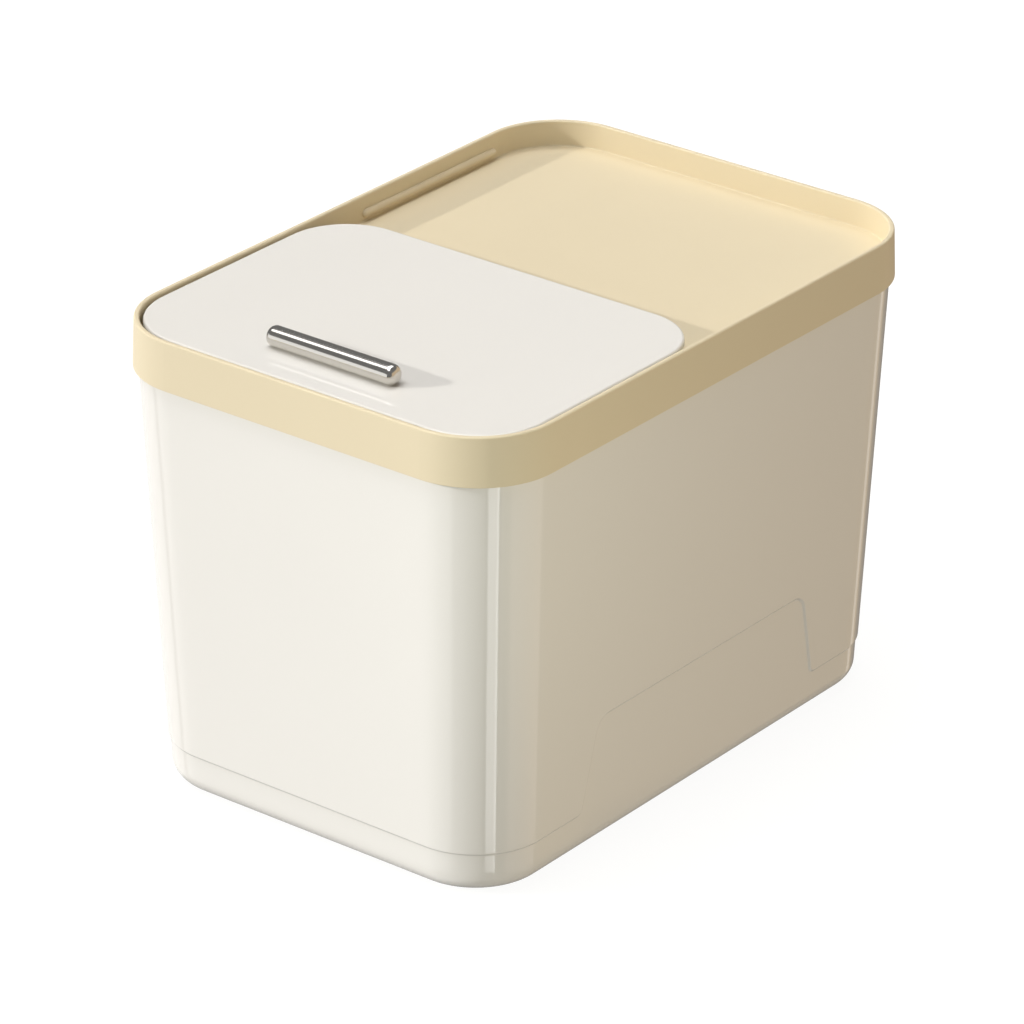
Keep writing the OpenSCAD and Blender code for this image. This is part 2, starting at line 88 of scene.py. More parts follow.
class BodySizes(bpy.types.PropertyGroup):
    """Sizes of the drafted body, as in the part's source."""

    width: length("Width", "Width over the cover's band", COVER_HIGH.x - COVER_LOW.x)
    length: length("Length", "Length over the cover's band", COVER_HIGH.y - COVER_LOW.y)
    inset: length("Inset", "Inset of the body below the band", 2.7 * MM)
    wall: length("Wall", "Thickness of the walls", 3 * MM)
    floor: length("Floor", "Thickness of the floor", 3.4 * MM)
    draft: FloatProperty(name="Draft", description="Inward slope of the walls for each unit of height",
                         default=0.0385, min=0.0, max=0.1, precision=4)
    top_corner: length("Top corner radius", "Corner radius under the band", 42.3 * MM)
    base_corner: length("Base corner radius", "Corner radius at the foot of the walls", 40 * MM)
    edge: length("Bottom edge radius", "Radius along the bottom edge", 9 * MM)
    wall_top: length("Slope's top", "Height at which the walls start to slope in", COVER_LOW.z - 1 * MM)
    relief: length("Relief", "Depth of the surface below the relief line", 1 * MM)
    relief_edge: length("Relief's edge", "Half the width of the soft edge along the relief line", 0.8 * MM)
    relief_line: length("Relief line", "Height of the relief line round the foot", 24 * MM)
    panel_top: length("Panel's top", "Height of the side panel's top line", 74 * MM)
    panel_foot: length("Panel's foot", "Length of the side panel at the relief line", 195 * MM)
    panel_head: length("Panel's head", "Length of the side panel at its top line", 172 * MM)
    panel_middle: FloatProperty(name="Panel's middle", description="Place of the side panel along the body",
                                default=2 * MM, unit="LENGTH", subtype="DISTANCE", precision=4)
    panel_corner: length("Panel's corners", "Radius of the side panel's upper corners", 10 * MM)
    panel_fillet: length("Panel's fillet", "Radius where the side panel meets the relief line", 4 * MM)
    recess: length("Recess", "Depth of the recess in the underside", 0.8 * MM)


class FittingSizes(bpy.types.PropertyGroup):
    """Sizes of the bar handle, seals, screws and feet."""

    bar_length: length("Bar length", "Length of the bar handle", BAR_HIGH.x - BAR_LOW.x)
    bar_diameter: length("Bar diameter", "Diameter of the bar handle", BAR_HIGH.y - BAR_LOW.y)
    bar_end: length("Bar end", "Rounding of the bar's ends", 4 * MM)
    lid_seal_width: length("Lid seal width", "Width of the seal round the mouth", 4.2 * MM)
    lid_seal_corner: length("Lid seal corner", "Corner radius of the lid seal's outer edge", 31.6 * MM)
    rim_seal_width: length("Rim seal width", "Width of the seal on the body's rim", 3.6 * MM)
    rim_seal_corner: length("Rim seal corner", "Corner radius of the rim seal's outer edge", 42.55 * MM)
    seal_lips: IntProperty(name="Seal lips", description="Number of lips across each seal", default=2, min=1,
                           max=4)
    panel_screw_head: length("Panel screw head", "Diameter of the panel screws' heads", 4.8 * MM)
    panel_screw_shank: length("Panel screw shank", "Diameter of the panel screws' shanks", 2.4 * MM)
    panel_screw_head_height: length("Panel screw head height", "Thickness of a panel screw's head", 1.4 * MM)
    handle_screw_head: length("Handle screw head", "Diameter of the handle screws' heads", 7.2 * MM)
    handle_screw_shank: length("Handle screw shank", "Diameter of the handle screws' shanks", 4 * MM)
    handle_screw_head_height: length("Handle screw head height", "Thickness of a handle screw's head", 2 * MM)
    foot_rings: IntProperty(name="Foot rings", description="Number of grip rings under each foot", default=3,
                            min=1, max=6)


class BinColours(bpy.types.PropertyGroup):
    """Colours of the bin's materials."""

    white: colour("White plastic", "Body, lid and inner panel", "#EBE8E1")
    cream: colour("Cream plastic", "Cover with its band and tray", "#E2D4B4")
    silicone: colour("Silicone", "Seals", "#DADAD6")
    chrome: colour("Polished steel", "Bar handle", "#D5D2CC")
    zinc: colour("Plated steel", "Screws", "#B9B9B6")
    rubber: colour("Rubber", "Feet", "#3A3A3B")
    floor: colour("Floor", "Studio floor", "#6E6E6A")


def body_sizes():
    return bpy.context.scene.rice_bin_body


def fitting_sizes():
    return bpy.context.scene.rice_bin_fittings


def colours():
    return bpy.context.scene.rice_bin_colours


# Node helper


def add(tree, kind, inputs=None, **settings):
    """Adds a node with its settings; an input given as a socket is linked, and any other value is set."""
    node = tree.nodes.new(kind)
    for name, value in settings.items():
        setattr(node, name, value)
    for key, value in (inputs or {}).items():
        if isinstance(value, bpy.types.NodeSocket):
            tree.links.new(value, node.inputs[key])
        else:
            node.inputs[key].default_value = value
    return node


# Materials


def new_material(name):
    """A new material and its empty tree."""
    material = bpy.data.materials.new(name)
    material.use_nodes = True
    material.node_tree.nodes.clear()
    return material, material.node_tree


def close_material(tree, shader):
    """Ends a material's tree with its shader."""
    add(tree, "ShaderNodeOutputMaterial", {"Surface": shader.outputs[0]})


def speckled(tree, place, scale, low, high, detail=2.0):
    """A value between low and high that changes over patches of the given scale (patches a metre)."""
    noise = add(tree, "ShaderNodeTexNoise", {
        "Vector": place, "Scale": scale, "Detail": detail, "Roughness": 0.5})
    return add(tree, "ShaderNodeMapRange", {"Value": noise.outputs["Fac"], "From Min": 0.3, "From Max": 0.7,
                                            "To Min": low, "To Max": high}).outputs["Result"]


def tinted(tree, place, base, scale, amount):
    """The base colour, a little darker in patches of the given scale."""
    share = speckled(tree, place, scale, 0.0, amount)
    mix = add(tree, "ShaderNodeMix", {"Factor": share, 6: base, 7: [c * 0.8 for c in base[:3]] + [1.0]},
              data_type="RGBA")
    return mix.outputs[2]


def gloss_plastic():
    """High-gloss white polypropylene, injection moulded in a polished mould.

    The eye sees crisp but weak reflections, a slight waviness of the large walls from shrinkage, and no grain.
    """
    material, tree = new_material("High-gloss moulded polypropylene")
    place = add(tree, "ShaderNodeTexCoord").outputs["Object"]
    # Shrinkage waves are 70 mm long and at most 0.02 mm high
    waves = add(tree, "ShaderNodeTexNoise", {"Vector": place, "Scale": 1 / (70 * MM), "Detail": 1.0})
    bump = add(tree, "ShaderNodeBump", {
        "Height": waves.outputs["Fac"], "Strength": 0.25, "Distance": 0.02 * MM})
    shader = add(tree, "ShaderNodeBsdfPrincipled", {
        "Base Color": tinted(tree, place, colours().white, 1 / (90 * MM), 0.04),
        "Roughness": speckled(tree, place, 1 / (25 * MM), 0.04, 0.065),
        "Normal": bump.outputs["Normal"], "IOR": 1.5})
    close_material(tree, shader)
    return material


def satin_plastic():
    """Cream polypropylene, injection moulded in a spark-eroded mould.

    The eye sees a soft sheen without reflections and a very fine even grain. The real grain, about 0.1 mm, is
    too fine to show, so it is drawn at 0.6 mm.
    """
    material, tree = new_material("Satin moulded polypropylene")
    place = add(tree, "ShaderNodeTexCoord").outputs["Object"]
    grain = add(tree, "ShaderNodeTexNoise", {"Vector": place, "Scale": 1 / (0.6 * MM), "Detail": 2.0})
    bump = add(tree, "ShaderNodeBump", {
        "Height": grain.outputs["Fac"], "Strength": 0.12, "Distance": 0.05 * MM})
    shader = add(tree, "ShaderNodeBsdfPrincipled", {
        "Base Color": tinted(tree, place, colours().cream, 1 / (60 * MM), 0.05),
        "Roughness": speckled(tree, place, 1 / (20 * MM), 0.46, 0.52), "Specular IOR Level": 0.4,
        "Normal": bump.outputs["Normal"], "IOR": 1.49})
    close_material(tree, shader)
    return material


def silicone_rubber():
    """Translucent silicone, compression moulded.

    The eye sees a milky, slightly dusty white with a soft sheen.
    """
    material, tree = new_material("Milky moulded silicone")
    place = add(tree, "ShaderNodeTexCoord").outputs["Object"]
    dust = add(tree, "ShaderNodeTexNoise", {"Vector": place, "Scale": 1 / (1.2 * MM), "Detail": 3.0})
    bump = add(tree, "ShaderNodeBump", {"Height": dust.outputs["Fac"], "Strength": 0.2, "Distance": 0.03 * MM})
    shader = add(tree, "ShaderNodeBsdfPrincipled", {
        "Base Color": tinted(tree, place, colours().silicone, 1 / (8 * MM), 0.12),
        "Roughness": speckled(tree, place, 1 / (3 * MM), 0.42, 0.55),
        "Normal": bump.outputs["Normal"], "IOR": 1.41})
    close_material(tree, shader)
    return material


def polished_steel():
    """Stainless bar, turned and polished along its length.

    The eye sees long soft stripes of light and dark, with faint lines along the bar that blur the reflections a
    little across it.
    """
    material, tree = new_material("Polished stainless bar")
    place = add(tree, "ShaderNodeTexCoord").outputs["Object"]
    # The polishing lines are drawn 0.5 mm apart, so that they show, and run for about 40 mm
    along = add(tree, "ShaderNodeMapping", {
        "Vector": place, "Scale": (1 / (40 * MM), 1 / (0.5 * MM), 1 / (0.5 * MM))})
    lines = add(tree, "ShaderNodeTexNoise", {"Vector": along.outputs["Vector"], "Scale": 1.0, "Detail": 2.0})
    bump = add(tree, "ShaderNodeBump", {
        "Height": lines.outputs["Fac"], "Strength": 0.15, "Distance": 0.02 * MM})
    rough = add(tree, "ShaderNodeMapRange", {"Value": lines.outputs["Fac"], "To Min": 0.1, "To Max": 0.2})
    shader = add(tree, "ShaderNodeBsdfPrincipled", {
        "Base Color": tinted(tree, along.outputs["Vector"], colours().chrome, 1.0, 0.1), "Metallic": 1.0,
        "Roughness": rough.outputs["Result"], "Normal": bump.outputs["Normal"]})
    close_material(tree, shader)
    return material


def plated_steel():
    """Zinc-plated steel, rolled and plated.

    The eye sees a grey, slightly blotchy metal with blurred reflections.
    """
    material, tree = new_material("Zinc-plated steel")
    place = add(tree, "ShaderNodeTexCoord").outputs["Object"]
    shader = add(tree, "ShaderNodeBsdfPrincipled", {
        "Base Color": tinted(tree, place, colours().zinc, 1 / (1.5 * MM), 0.35), "Metallic": 1.0,
        "Roughness": speckled(tree, place, 1 / (0.8 * MM), 0.25, 0.42)})
    close_material(tree, shader)
    return material


def foot_rubber():
    """Thermoplastic rubber, injection moulded.

    The eye sees a matte charcoal with a fine grain. The grain, about 0.1 mm, is drawn at 0.5 mm, so that it
    shows.
    """
    material, tree = new_material("Matte thermoplastic rubber")
    place = add(tree, "ShaderNodeTexCoord").outputs["Object"]
    grain = add(tree, "ShaderNodeTexNoise", {"Vector": place, "Scale": 1 / (0.5 * MM), "Detail": 2.0})
    bump = add(tree, "ShaderNodeBump", {"Height": grain.outputs["Fac"], "Strength": 0.4, "Distance": 0.05 * MM})
    shader = add(tree, "ShaderNodeBsdfPrincipled", {
        "Base Color": tinted(tree, place, colours().rubber, 1 / (4 * MM), 0.3),
        "Roughness": speckled(tree, place, 1 / (2 * MM), 0.7, 0.85),
        "Normal": bump.outputs["Normal"], "IOR": 1.5})
    close_material(tree, shader)
    return material


MAKERS = {"white": gloss_plastic, "cream": satin_plastic, "silicone": silicone_rubber, "chrome": polished_steel,
          "steel": plated_steel, "rubber": foot_rubber}
made = {}


def material_of(name):
    """The material of that name, made when it is first asked for."""
    if name not in made:
        made[name] = MAKERS[name]()
    return made[name]


def dress(node, name):
    """Gives a CAD node that is shown its material."""
    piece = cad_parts[node]
    piece.data.materials.clear()
    piece.data.materials.append(material_of(name))


# Mesh helpers


def piece_from(name, mesh, material, body, slot, *nodes):
    """A finished piece at the origin that rides on a body and stands for CAD nodes."""
    mesh.materials.clear()
    mesh.materials.append(material_of(material))
    mesh.polygons.foreach_set("material_index", [0] * len(mesh.polygons))
    piece = bpy.data.objects.new(name, mesh)
    bpy.context.scene.collection.objects.link(piece)
    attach(piece, body)
    if nodes:
        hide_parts(*nodes)
    return piece


def new_tree(name, inputs):
    """A geometry tree with a Geometry input, the named inputs and a Geometry output."""
    tree = bpy.data.node_groups.new(name, "GeometryNodeTree")
    tree.interface.new_socket("Geometry", in_out="INPUT", socket_type="NodeSocketGeometry")
    for label, kind in inputs:
        tree.interface.new_socket(label, in_out="INPUT", socket_type=kind)
    tree.interface.new_socket("Geometry", in_out="OUTPUT", socket_type="NodeSocketGeometry")
    return tree, add(tree, "NodeGroupInput").outputs


def close_tree(tree, geometry, material):
    """Ends a geometry tree: real geometry with its material."""
    real = add(tree, "GeometryNodeRealizeInstances", {"Geometry": geometry})
    painted = add(tree, "GeometryNodeSetMaterial", {"Geometry": real.outputs[0], "Material": material})
    add(tree, "NodeGroupOutput", {"Geometry": painted.outputs[0]})


def grown(data, tree, values):
    """The plain mesh that a tree makes of a mesh or curve, with its named inputs set."""
    holder = bpy.data.objects.new("holder", data)
    bpy.context.scene.collection.objects.link(holder)
    modifier = holder.modifiers.new("tree", "NODES")
    modifier.node_group = tree
    for item in tree.interface.items_tree:
        if item.in_out == "INPUT" and item.name in values:
            modifier[item.identifier] = values[item.name]
    mesh = bpy.data.meshes.new_from_object(holder.evaluated_get(bpy.context.evaluated_depsgraph_get()))
    holder.modifiers.remove(modifier)
    bpy.data.objects.remove(holder)
    return mesh


def ring_mesh(name, rings):
    """A closed mesh through rings of points; a ring of one point closes an end."""
    build = bmesh.new()
    rows = [[build.verts.new(point) for point in ring] for ring in rings]
    for a, b in zip(rows, rows[1:]):
        n = max(len(a), len(b))
        for k in range(n):
            j = (k + 1) % n
            corners = [a[k % len(a)], b[k % len(b)], b[j % len(b)], a[j % len(a)]]
            build.faces.new(dict.fromkeys(corners))
    bmesh.ops.recalc_face_normals(build, faces=build.faces)
    for face in build.faces:
        face.smooth = True
    mesh = bpy.data.meshes.new(name)
    build.to_mesh(mesh)
    build.free()
    return mesh


def turned(outline, steps):
    """Rings round the Z axis for an outline of (radius, height) points; a radius of 0 gives one point."""
    return [[Vector((r * math.cos(2 * math.pi * k / steps), r * math.sin(2 * math.pi * k / steps), z))
             for k in range(steps if r else 1)] for r, z in outline]


def quarter_round(radius, angles):
    """How far a quarter circle lies inside its two tangents at each angle in degrees, as (side, end)."""
    turns = [math.radians(a) for a in angles]
    return [(radius * (1 - math.sin(turn)), radius * (1 - math.cos(turn))) for turn in turns]


def rows_of_copies_tree():
    """Copies of a mesh on a rectangular grid of places."""
    tree, given = new_tree("Rows of copies", [
        ("Across", "NodeSocketFloat"), ("Along", "NodeSocketFloat"), ("Columns", "NodeSocketInt"),
        ("Rows", "NodeSocketInt"), ("Middle", "NodeSocketVector"), ("Material", "NodeSocketMaterial")])
    grid = add(tree, "GeometryNodeMeshGrid", {"Size X": given["Across"], "Size Y": given["Along"],
                                              "Vertices X": given["Columns"], "Vertices Y": given["Rows"]})
    moved = add(tree, "GeometryNodeTransform", {
        "Geometry": grid.outputs["Mesh"], "Translation": given["Middle"]})
    points = add(tree, "GeometryNodeMeshToPoints", {"Mesh": moved.outputs[0]})
    copies = add(tree, "GeometryNodeInstanceOnPoints", {
        "Points": points.outputs[0], "Instance": given["Geometry"]})
    close_tree(tree, copies.outputs[0], given["Material"])
    return tree


def lipped_seal_tree():
    """Sweeps a seal's section round a rounded rectangle."""
    tree, given = new_tree("Lipped seal", [
        ("Width", "NodeSocketFloat"), ("Length", "NodeSocketFloat"), ("Corner", "NodeSocketFloat"),
        ("Middle", "NodeSocketVector"), ("Material", "NodeSocketMaterial")])
    path = add(tree, "GeometryNodeCurvePrimitiveQuadrilateral", {
        "Width": given["Width"], "Height": given["Length"]})
    path = add(tree, "GeometryNodeFilletCurve", {
        "Curve": path.outputs[0], "Count": 16, "Radius": given["Corner"]}, mode="POLY")
    path = add(tree, "GeometryNodeSetCurveNormal", {"Curve": path.outputs[0]}, mode="Z_UP")
    swept = add(tree, "GeometryNodeCurveToMesh", {"Curve": path.outputs[0], "Profile Curve": given["Geometry"]})
    moved = add(tree, "GeometryNodeTransform", {"Geometry": swept.outputs[0], "Translation": given["Middle"]})
    smooth = add(tree, "GeometryNodeSetShadeSmooth", {"Geometry": moved.outputs[0], "Shade Smooth": True})
    close_tree(tree, smooth.outputs[0], given["Material"])
    return tree


# Body


# Steps of the grid round the body's corners, along its short sides and round the corners of the relief line
CORNER_STEPS, SHORT_SIDE_STEPS, LINE_CORNER_STEPS = 28, 24, 10
# Steps of the grid round the bottom edge, outside and inside
EDGE_STEPS, INNER_EDGE_STEPS = 14, 10
# Widest gap between the columns on a long side
LINE_SPACING = 3 * MM
# Columns within this share of a long side stand upright, and those outside it follow the slope of the corner
UPRIGHT_SHARE = 0.985
# Rows of the walls: across the relief line in half widths of its soft edge, and below and above it in shares of
# the way
ACROSS_LINE = (-2, -1.4, -1, -0.75, -0.5, -0.25, 0, 0.25, 0.5, 0.75, 1, 1.4, 2)
BELOW_LINE = (0.3, 0.65)
ABOVE_LINE = (0.03, 0.08, 0.2, 0.4, 0.6, 0.8, 0.93, 1.0)
# Rounding of the rim, and width, corner radius and rounding of the recess in the underside
RIM_ROUND = 0.6 * MM
RECESS_WIDTH, RECESS_CORNER, RECESS_ROUND = 147.1 * MM, 20 * MM, 0.4 * MM


def rounded_line(points, radii, steps):
    """Points along a bent line whose corner i is rounded to radii[i]."""
    line = []
    for i, point in enumerate(points):
        here = Vector(point)
        if radii[i] == 0:
            line.append(here)
            continue
        back = (Vector(points[i - 1]) - here).normalized()
        ahead = (Vector(points[i + 1]) - here).normalized()
        half = math.acos(max(-1.0, min(1.0, back.dot(ahead)))) / 2
        reach = radii[i] / math.tan(half)
        centre = here + (back + ahead).normalized() * radii[i] / math.sin(half)
        start, end = here + back * reach - centre, here + ahead * reach - centre
        turn = start.angle_signed(end)
        for k in range(steps + 1):
            a = -turn * k / steps
            line.append(centre + Vector((start.x * math.cos(a) - start.y * math.sin(a),
                                         start.x * math.sin(a) + start.y * math.cos(a))))
    return line


def filled_in(line, spacing):
    """The line with points added, so that none are further apart than the spacing."""
    out = [line[0]]
    for a, b in zip(line, line[1:]):
        n = max(1, math.ceil((b - a).length / spacing))
        out += [a.lerp(b, k / n) for k in range(1, n + 1)]
    return out


def with_normals(line):
    """Each point with the unit normal to its left."""
    out = []
    for i, p in enumerate(line):
        way = (line[min(i + 1, len(line) - 1)] - line[max(i - 1, 0)]).normalized()
        out.append((p, Vector((-way.y, way.x))))
    return out


def relief_on_side(s, reach):
    """The relief line along a long side, as points (y, z) from -reach to reach: flat, and up over the panel."""
    foot, head = s.panel_foot / 2, s.panel_head / 2
    line, top, middle = s.relief_line, s.panel_top, s.panel_middle
    points = [(-reach, line), (middle - foot, line), (middle - head, top), (middle + head, top),
              (middle + foot, line), (reach, line)]
    radii = [0, s.panel_fillet, s.panel_corner, s.panel_corner, s.panel_fillet, 0]
    return with_normals(filled_in(rounded_line(points, radii, LINE_CORNER_STEPS), LINE_SPACING))


def straight_reach(s, z, across):
    """Half the straight length of a side at height z; across is the overall size along that side."""
    drop = max(0.0, s.wall_top - z)
    share = drop / (s.wall_top - BODY_LOW.z)
    corner = s.top_corner + (s.base_corner - s.top_corner) * share
    return across / 2 - s.inset - s.draft * drop - corner


def body_columns(s):
    """Columns round the body: (share across, share along, angle, point of the relief line, its normal).

    The shares are of half the straight sides. The one along is None on the long sides, where it follows from
    the relief line.
    """
    columns = []
    relief = relief_on_side(s, straight_reach(s, s.relief_line, s.length))
    level = (Vector((0, s.relief_line)), Vector((0, 1)))
    for k, (side_x, side_y) in enumerate([(1, 1), (-1, 1), (-1, -1), (1, -1)]):
        if k % 2 == 0:
            columns += [(side_x, None, 90.0 * k, *place) for place in (relief if k == 0 else reversed(relief))]
        else:
            columns += [((1 - 2 * i / SHORT_SIDE_STEPS) * side_y, side_y, 90.0 * k, *level)
                        for i in range(SHORT_SIDE_STEPS + 1)]
        columns += [(side_x, side_y, 90.0 * k + 90.0 * i / CORNER_STEPS, *level)
                    for i in range(1, CORNER_STEPS)]
    return columns


def body_rows(s):
    """Rows of the body from the underside, up the walls and down the inside.

    A level row is ("level", (height, distance inside the outer wall, what that takes off the corner's radius)).
    A row of the walls is ("below", "line" or "above", where it lies from the relief line).
    """
    base, top, wall, edge = BODY_LOW.z, BODY_HIGH.z, s.wall, s.edge
    rows = []

    def level(z, draw, trim=None, relief=0.0):
        rows.append(("level", (z, draw + relief, (draw if trim is None else trim) + relief)))

    # Underside: the ceiling of the recess, the round into its wall, and the base up to the bottom edge
    recess_in = (s.width - RECESS_WIDTH) / 2 - s.inset - s.draft * (s.wall_top - base)
    recess_trim = s.base_corner - RECESS_CORNER
    ceiling, ceiling_in = base + s.recess, recess_in + 0.9 * MM
    level(ceiling, recess_in + 6 * MM, recess_trim + 4 * MM)
    level(ceiling, ceiling_in, recess_trim)
    for a in (30, 60, 90):
        turn = math.radians(a)
        level(ceiling - RECESS_ROUND * (1 - math.cos(turn)), ceiling_in - RECESS_ROUND * math.sin(turn),
              recess_trim)
    level(base, recess_in + 0.2 * MM, recess_trim)
    level(base, recess_in - 0.5 * MM, recess_trim)
    for side, end in quarter_round(edge, [90.0 * i / EDGE_STEPS for i in range(EDGE_STEPS + 1)]):
        level(base + end, side, None, s.relief)
    # Walls
    rows += [("below", share) for share in BELOW_LINE]
    rows += [("line", across) for across in ACROSS_LINE]
    rows += [("above", share) for share in ABOVE_LINE]
    # Mouth and inside
    level(top - RIM_ROUND, 0.0)
    for side, end in quarter_round(RIM_ROUND, (30, 60, 90)):
        level(top - side, end)
    for side, end in quarter_round(RIM_ROUND, (0, 30, 60, 90)):
        level(top - end, wall - side)
    floor_z, inner_edge = base + s.floor, edge - wall
    for share in (0.1, 0.5, 1.0):
        level(top + (floor_z + inner_edge - top) * share - RIM_ROUND * (1 - share), wall)
    angles = [90.0 * i / INNER_EDGE_STEPS for i in range(1, INNER_EDGE_STEPS + 1)]
    for side, end in quarter_round(inner_edge, angles):
        level(floor_z + side, wall + end)
    return rows


def on_wall(s, kind, where, point, normal):
    """Where a row of the walls crosses a column, as (y, z), and the share of the relief's depth there."""
    if kind == "line":
        turn = math.radians(90 * max(-1, min(1, where)))
        return point + normal * where * s.relief_edge, 0.5 - 0.5 * math.sin(turn)
    if kind == "below":
        start = point + normal * ACROSS_LINE[0] * s.relief_edge
        return Vector((point.x, BODY_LOW.z + s.edge)).lerp(start, where), 1.0
    start = point + normal * ACROSS_LINE[-1] * s.relief_edge
    return start.lerp(Vector((point.x, s.wall_top)), where), 0.0


def body_grid(s):
    """The body's rows and columns as a plain mesh whose attributes say where each point lies.

    A point's place is the share across, the share along and the height; turn is the angle round a corner; draw
    is the distance inside the outer wall, and trim what that takes off the corner's radius.
    """
    columns, rows = body_columns(s), body_rows(s)
    places, turns, draws, trims = [], [], [], []
    line_reach = straight_reach(s, s.relief_line, s.length)
    for kind, where in rows:
        for share_x, share_y, angle, point, normal in columns:
            if kind == "level":
                y, (z, draw, trim) = point.x, where
            else:
                (y, z), share = on_wall(s, kind, where, point, normal)
                draw = trim = s.relief * share
            if share_y is None and abs(point.x) < UPRIGHT_SHARE * line_reach:
                share_y = y / straight_reach(s, z, s.length)
            elif share_y is None:
                share_y = max(-1.0, min(1.0, y / line_reach))
            places.append((share_x, share_y, z))
            turns.append(math.radians(angle))
            draws.append(draw)
            trims.append(trim)
    n = len(columns)
    faces = [(r * n + c, r * n + (c + 1) % n, (r + 1) * n + (c + 1) % n, (r + 1) * n + c)
             for r in range(len(rows) - 1) for c in range(n)]
    faces += [tuple(reversed(range(n))), tuple(range((len(rows) - 1) * n, len(rows) * n))]
    mesh = bpy.data.meshes.new("body grid")
    mesh.from_pydata(places, [], faces)
    for name, values in (("turn", turns), ("draw", draws), ("trim", trims)):
        mesh.attributes.new(name, "FLOAT", "POINT").data.foreach_set("value", values)
    return mesh


def drafted_body_tree():
    """Places a grid on a drafted tub: the walls slope in below the band, and the corner radius changes too."""
    tree, given = new_tree("Drafted body", [
        ("Width", "NodeSocketFloat"), ("Length", "NodeSocketFloat"), ("Inset", "NodeSocketFloat"),
        ("Draft", "NodeSocketFloat"), ("Slope Top", "NodeSocketFloat"), ("Base", "NodeSocketFloat"),
        ("Top Corner", "NodeSocketFloat"), ("Base Corner", "NodeSocketFloat"),
        ("Material", "NodeSocketMaterial")])
    position = add(tree, "GeometryNodeInputPosition").outputs[0]
    place = add(tree, "ShaderNodeSeparateXYZ", {"Vector": position}).outputs
    turn, draw, trim = [
        add(tree, "GeometryNodeInputNamedAttribute", {"Name": name}, data_type="FLOAT").outputs[0]
        for name in ("turn", "draw", "trim")]
    drop = add(tree, "ShaderNodeMath", {0: given["Slope Top"], 1: place[2]}, operation="SUBTRACT")
    drop = add(tree, "ShaderNodeMath", {0: drop.outputs[0], 1: 0.0}, operation="MAXIMUM").outputs[0]
    fall = add(tree, "ShaderNodeMath", {0: drop, 1: given["Draft"], 2: given["Inset"]},
               operation="MULTIPLY_ADD")
    whole = add(tree, "ShaderNodeMath", {0: given["Slope Top"], 1: given["Base"]}, operation="SUBTRACT")
    share = add(tree, "ShaderNodeMath", {0: drop, 1: whole.outputs[0]}, operation="DIVIDE")
    change = add(tree, "ShaderNodeMath", {0: given["Base Corner"], 1: given["Top Corner"]},
                 operation="SUBTRACT")
    corner = add(tree, "ShaderNodeMath", {0: share.outputs[0], 1: change.outputs[0], 2: given["Top Corner"]},
                 operation="MULTIPLY_ADD")
    corner = add(tree, "ShaderNodeMath", {0: corner.outputs[0], 1: trim}, operation="SUBTRACT").outputs[0]
    inset = add(tree, "ShaderNodeMath", {0: fall.outputs[0], 1: draw}, operation="ADD").outputs[0]
    taken = add(tree, "ShaderNodeMath", {0: inset, 1: corner}, operation="ADD").outputs[0]
    parts = []
    for side, share_of, wave in (("Width", place[0], "COSINE"), ("Length", place[1], "SINE")):
        half = add(tree, "ShaderNodeMath", {0: given[side], 1: 0.5}, operation="MULTIPLY").outputs[0]
        centre = add(tree, "ShaderNodeMath", {0: half, 1: taken}, operation="SUBTRACT").outputs[0]
        round_part = add(tree, "ShaderNodeMath", {0: turn}, operation=wave).outputs[0]
        round_part = add(tree, "ShaderNodeMath", {0: round_part, 1: corner}, operation="MULTIPLY").outputs[0]
        parts.append(add(tree, "ShaderNodeMath", {0: share_of, 1: centre, 2: round_part},
                         operation="MULTIPLY_ADD").outputs[0])
    point = add(tree, "ShaderNodeCombineXYZ", {"X": parts[0], "Y": parts[1], "Z": place[2]})
    moved = add(tree, "GeometryNodeSetPosition", {"Geometry": given["Geometry"], "Position": point.outputs[0]})
    smooth = add(tree, "GeometryNodeSetShadeSmooth", {"Geometry": moved.outputs[0], "Shade Smooth": True})
    close_tree(tree, smooth.outputs[0], given["Material"])
    return tree


class RICEBIN_OT_body(bpy.types.Operator):
    """Builds the drafted body with its soft relief line and side panels"""

    bl_idname = "ricebin.body"
    bl_label = "Body"

    def execute(self, context):
        s = body_sizes()
        mesh = grown(body_grid(s), drafted_body_tree(), {
            "Width": s.width, "Length": s.length, "Inset": s.inset, "Draft": s.draft, "Slope Top": s.wall_top,
            "Base": BODY_LOW.z, "Top Corner": s.top_corner, "Base Corner": s.base_corner,
            "Material": material_of("white")})
        piece_from("drafted_body", mesh, "white", "bin", "white_plastic", "body")
        return {"FINISHED"}


class RICEBIN_OT_cover(bpy.types.Operator):
    """Gives the cover with its tray its satin plastic"""

    bl_idname = "ricebin.cover"
    bl_label = "Cover"

    def execute(self, context):
        dress("cover", "cream")
        return {"FINISHED"}


class RICEBIN_OT_lid(bpy.types.Operator):
    """Gives the flip lid and its inner panel their glossy plastic"""

    bl_idname = "ricebin.lid"
    bl_label = "Flip lid"

    def execute(self, context):
        dress("lid", "white")
        dress("lid_inner_panel", "white")
        return {"FINISHED"}


def seal_section(width, height, lips):
    """The section of a seal as a closed curve: flat on top with small chamfers, and round lips below."""
    lip, lip_height, chamfer = width / lips, 0.7 * MM, 0.3 * MM
    points = [(width / 2, height / 2 - chamfer), (width / 2 - chamfer, height / 2),
              (chamfer - width / 2, height / 2), (-width / 2, height / 2 - chamfer)]
    for n in range(lips):
        for a in range(0, 181, 20):
            x = -width / 2 + lip * (n + 0.5 - 0.5 * math.cos(math.radians(a)))
            points.append((x, -height / 2 + lip_height * (1 - math.sin(math.radians(a)))))
    curve = bpy.data.curves.new("seal section", "CURVE")
    curve.dimensions = "2D"
    line = curve.splines.new("POLY")
    line.points.add(len(points) - 1)
    line.points.foreach_set("co", [c for x, y in points for c in (x, y, 0, 1)])
    line.use_cyclic_u = True
    return curve


